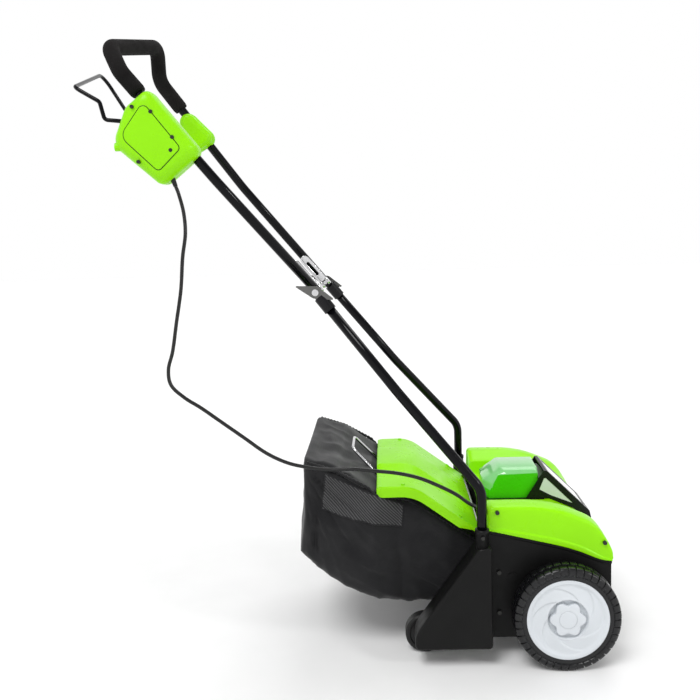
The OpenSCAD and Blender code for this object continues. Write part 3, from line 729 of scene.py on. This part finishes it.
def make_rim(side, name):
    """A dished disc with a stepped rim and six shallow swirled vanes."""
    steps, rows = 480, []
    radii = [7, 14, 35.6, 36.4, 38, 40] + [42 + i * 1.6 for i in range(17)] + [69, 70.5, 72, 76, 77, 77]
    for k in range(steps):
        a = 2 * math.pi * k / steps
        row = []
        for i, r in enumerate(radii):
            if r <= 35.6:
                depth = 12.0
            elif r < 38:
                depth = 12.0 - (12.0 - DISH) * (r - 35.6) / 2.4
            elif r <= 68:
                ramp = (a * 6 / (2 * math.pi) * side + (r - 40) * 0.034) % 1.0
                depth = DISH + CREST * min(ramp, (1 - ramp) * 22) * min(1, (68 - r) / 4, (r - 38) / 3)
            else:
                depth = 3.2 - 1.4 * min(1, (r - 68) / 3)
            if i == len(radii) - 1:
                depth = 12
            row.append(at(r * math.cos(a), side * (WHEEL_OUT - depth), AXLE_Z + r * math.sin(a)))
        rows.append(row)
    face = grid("face", rows, close_u=True)
    back = lathe("back", [(6.05, WHEEL_OUT - 9), (6.05, 226), (16, 226), (16, 253), (40, 253), (68, 257),
                          (70, 233), (77, 231), (77, 260)], side, 120)
    piece(crisp(join(f"rim_{name}", [face, back])), f"wheel_front_{name}", "rim_grey", RIM_GREY,
          f"front_rim_{name}")


def make_cap(side, name):
    """A six-lobed cap with a round centre."""
    count, rows = 180, []
    for share, depth in ((1.0, 12), (1.0, 4.4), (0.985, 3.5), (0.95, 3.0), (0.8, 2.9), (0.56, 2.9)):
        row = []
        for k in range(count):
            a = 2 * math.pi * k / count
            edge = 30.6 + 3.6 * math.cos(6 * a) * (1 - 0.15 * math.cos(6 * a))
            r = edge * share if share > 0.6 else 17.5
            row.append(at(r * math.cos(a), side * (WHEEL_OUT - depth), AXLE_Z + r * math.sin(a)))
        rows.append(row)
    star = grid("star", rows, close_v=True)
    disc = lathe("disc", [(17.4, 264.1), (17.0, 264.1), (16.6, 263.4), (16.2, 264.3), (15.5, 264.6),
                          (0.01, 264.7)], side, 96)
    piece(crisp(join(f"cap_{name}", [star, disc])), f"wheel_front_{name}", "rim_grey", RIM_GREY,
          f"wheel_cap_{name}")


for side, name in ((NEAR, "right"), (FAR, "left")):
    make_tyre(side, name)
    make_rim(side, name)
    make_cap(side, name)


# ---------------------------------------------------------------- grass bag
REAR = [(-490, 186), (-505, 205), (-494, 278), (-493, 395)]            # the rear wall, upward
BAG_TOP = [(-505, 396), (-492, 396), (-430, 376), (-368, 341), (-354, 325), (-346, 322), (-290, 308),
           (-142, 212)]
BAG_LOW = [(-505, 188), (-490, 178), (-425, 134), (-356, 99), (-290, 82), (-142, 88)]
BAG_HALF = [(-505, 184), (-480, 189), (-356, 187), (-310, 164), (-142, 160)]
MOUTH, BACK = -142, -495           # where the cloth starts at the deck, and its mean rear wall
REAR_BULGE, CORNER_R = 15, 24
TOP_CORNER = (-492, 395)           # the folds of the sides fan out from here


def level(line, x):
    """The height of a line of corners at x."""
    return float(np.interp(x, [p[0] for p in line], [p[1] for p in line]))


def rear_x(z):
    return float(np.interp(z, [p[1] for p in REAR], [p[0] for p in REAR]))


def fold(p):
    """How far the cloth stands in at a point, in millimetres."""
    away = Vector((p.x - TOP_CORNER[0], TOP_CORNER[1] - p.z))
    spoke = math.atan2(away.y, away.x + 12)
    reach = min(1.0, away.length / 50) * max(0.0, 1 - away.length / 330)
    fan = abs(noise.noise(Vector((spoke * 11, p.y * 0.004, 1.7)))) * 22 * reach
    broad = noise.noise(Vector((p.x * 0.012, p.y * 0.008, p.z * 0.014 + 5))) * 8
    slant = abs(noise.noise(Vector(((p.x * 0.7 + p.z) * 0.026, (p.x - p.z) * 0.006, p.y * 0.01)))) * 11
    small = noise.noise(Vector((p.x * 0.05, p.y * 0.03, p.z * 0.06))) * 1.4
    pleat = 7 * math.exp(-((p.x + 476 - (p.z - 200) * 0.06) / 5) ** 2) * min(1.0, max(0.0, (330 - p.z) / 90))
    return fan + broad + slant + small + pleat


def section(x, count):
    """The bag's section at x, as [y, z] points: a box with round corners and slack walls."""
    top, low, half = level(BAG_TOP, x), level(BAG_LOW, x), level(BAG_HALF, x)
    box = round_corners([(half, low), (half, top), (-half, top), (-half, low)], CORNER_R, steps=6)
    ring = resample(box, count, closed=True)
    for p in ring:
        across, up = p.x / half, (p.y - low) / (top - low)
        p.x += 4 * math.sin(math.pi * min(1, max(0, up))) * across
        p.y -= (5 if up < 0.5 else 3) * (1 - across * across)
    return ring


def make_bag():
    around, along, inner = 220, 130, 24
    rows = []
    for i in range(along):
        t = i / (along - 1)
        ring = section(BACK + (MOUTH - BACK) * t, around)
        centre = sum(ring, Vector((0, 0))) / around
        tuck = 0.93 + 0.07 * math.sqrt(min(1, t / 0.045))      # the rear edges are rounded
        row = []
        for p in ring:
            q = centre + (p - centre) * tuck
            x = rear_x(q.y) * (1 - t) + MOUTH * t
            spot = Vector((x, q.x, q.y))
            inward = Vector((0, centre.x - q.x, (centre.y - q.y) * 1.3)).normalized()
            row.append(spot + inward * fold(spot) * min(1.0, t * 12) * min(1.0, (1 - t) * 6 + 0.1))
        rows.append(row)
    first = rows[0]
    middle = sum(first, Vector()) / around
    for k in range(1, inner):
        s = 1 - k / inner
        row = []
        for p in first:
            q = middle + (p - middle) * s
            q.x = rear_x(q.z) * (1 - s) + p.x * s
            q.x = rear_x(q.z) - REAR_BULGE * (1 - s * s) + abs(fold(q)) * (1 - s)
            row.append(q)
        rows.insert(0, row)
    bag = grid("bag_cloth", [[at(*p) for p in row] for row in rows], close_v=True)
    close_rings(bag, around, [0])
    skin = BVHTree.FromPolygons([v.co for v in bag.data.vertices], [p.vertices for p in bag.data.polygons])
    modifier(bag, "SOLIDIFY", thickness=0.0012, offset=-1)
    piece(bag, "bag", "bag_fabric", CLOTH, "grass_bag")
    return skin


NET_CORNERS = [(-450, 364), (-300, 290), (-304, 246), (-460, 292)]    # the mesh panel, as [x, z]


def on_skin(skin, side, x, z, out):
    """The point of the bag's side wall at x and z, a little outside it."""
    start = at(x, side * 400, z)
    hit, normal, _, _ = skin.ray_cast(start, Vector((0, -side, 0)))
    return hit + Vector((0, side * out * MM, 0))


def make_bag_trim(skin):
    a, b, c, d = (Vector(p) for p in NET_CORNERS)
    for side, name in ((NEAR, "right"), (FAR, "left")):
        rows = []
        for i in range(34):
            u = i / 33
            rows.append([on_skin(skin, side, *a.lerp(b, v / 60).lerp(d.lerp(c, v / 60), u), 0.9)
                         for v in range(61)])
        panel = grid(f"bag_net_{name}", rows)
        modifier(panel, "SOLIDIFY", thickness=0.0008, offset=0)
        piece(panel, "bag", "bag_fabric", NET)
        edge = [p.lerp(q, k / 24) for p, q in zip((a, b, c, d), (b, c, d, a)) for k in range(24)]
        hem = [on_skin(skin, side, *p, 0.8) for p in edge]
        line = [((p.x - AXLE_X) / MM, p.y / MM, p.z / MM) for p in hem + hem[:2]]
        piece(tube(f"bag_net_hem_{name}", line, 1.2, sides=8, caps=False), "bag", "bag_fabric", CLOTH)
        tops, sizes = [], []
        for k in range(150):
            x = -486 + 330 * k / 149
            tops.append((x, side * (level(BAG_HALF, x) - 8), level(BAG_TOP, x) - 9))
            sizes.append(3.2 + 0.9 * math.sin(k * 1.9))
        piece(tube(f"bag_seam_{name}", tops, sizes, sides=10), "bag", "bag_fabric", CLOTH)


make_bag_trim(make_bag())


def make_bag_frame():
    loop = bent([(-151, -60, 207), (-344, -56, 312), (-402, -48, 374), (-402, 48, 374), (-344, 56, 312),
                 (-151, 60, 207)], [0, 25, 16, 16, 25, 0])
    ring = bent([(-150, -8, 101), (-150, -157, 101), (-150, -157, 206), (-150, 157, 206), (-150, 157, 101),
                 (-150, 8, 101)], [0, 8, 8, 8, 8, 0])
    wire = join("bag_wire", [tube("loop", loop, 3, sides=16), tube("ring", ring, 3.5, sides=16)])
    piece(wire, "bag", "zinc", ZINC, "bag_frame")


make_bag_frame()


# ---------------------------------------------------------------- stage
LAMPS = [("key", (-0.5, -0.8, 1.5), 25, 1.6), ("back", (0.4, 1.0, 1.6), 35, 0.7),
         ("edge", (0.75, -0.42, 0.52), 9, 0.5)]        # direction, width in degrees, and power
FLOOR_HALF = 12


def make_stage():
    mat = moulded("floor", (0.86, 0.86, 0.86), 0.7, depth=0.00001, shade=0.01)
    corners = [(x * FLOOR_HALF, y * FLOOR_HALF, -0.0005) for x, y in ((-1, -1), (1, -1), (1, 1), (-1, 1))]
    floor = add("floor", corners, [(0, 1, 2, 3)])
    paint(floor, mat)
    world = bpy.data.worlds.new("studio")
    world.use_nodes = True
    tree = world.node_tree
    place, split = node(tree, "ShaderNodeTexCoord"), node(tree, "ShaderNodeSeparateXYZ")
    ramp = node(tree, "ShaderNodeValToRGB")
    for e, p, v in zip(ramp.color_ramp.elements, (0.34, 0.72), (1.0, 0.42)):   # white walls, dimmer ceiling
        e.position, e.color = p, (v, v, v, 1)
    tree.links.new(place.outputs["Generated"], split.inputs[0])
    tree.links.new(split.outputs["Z"], ramp.inputs["Fac"])
    tree.links.new(ramp.outputs["Color"], tree.nodes["Background"].inputs["Color"])
    tree.nodes["Background"].inputs["Strength"].default_value = 1.0
    bpy.context.scene.world = world
    bpy.context.scene.view_settings.view_transform = "Standard"
    for name, way, width, power in LAMPS:
        light = bpy.data.lights.new(name, "SUN")
        light.angle, light.energy = math.radians(width), power
        lamp = bpy.data.objects.new(name, light)
        bpy.context.scene.collection.objects.link(lamp)
        lamp.rotation_mode = "QUATERNION"
        lamp.rotation_quaternion = (-Vector(way)).to_track_quat("-Z", "Y")


make_stage()
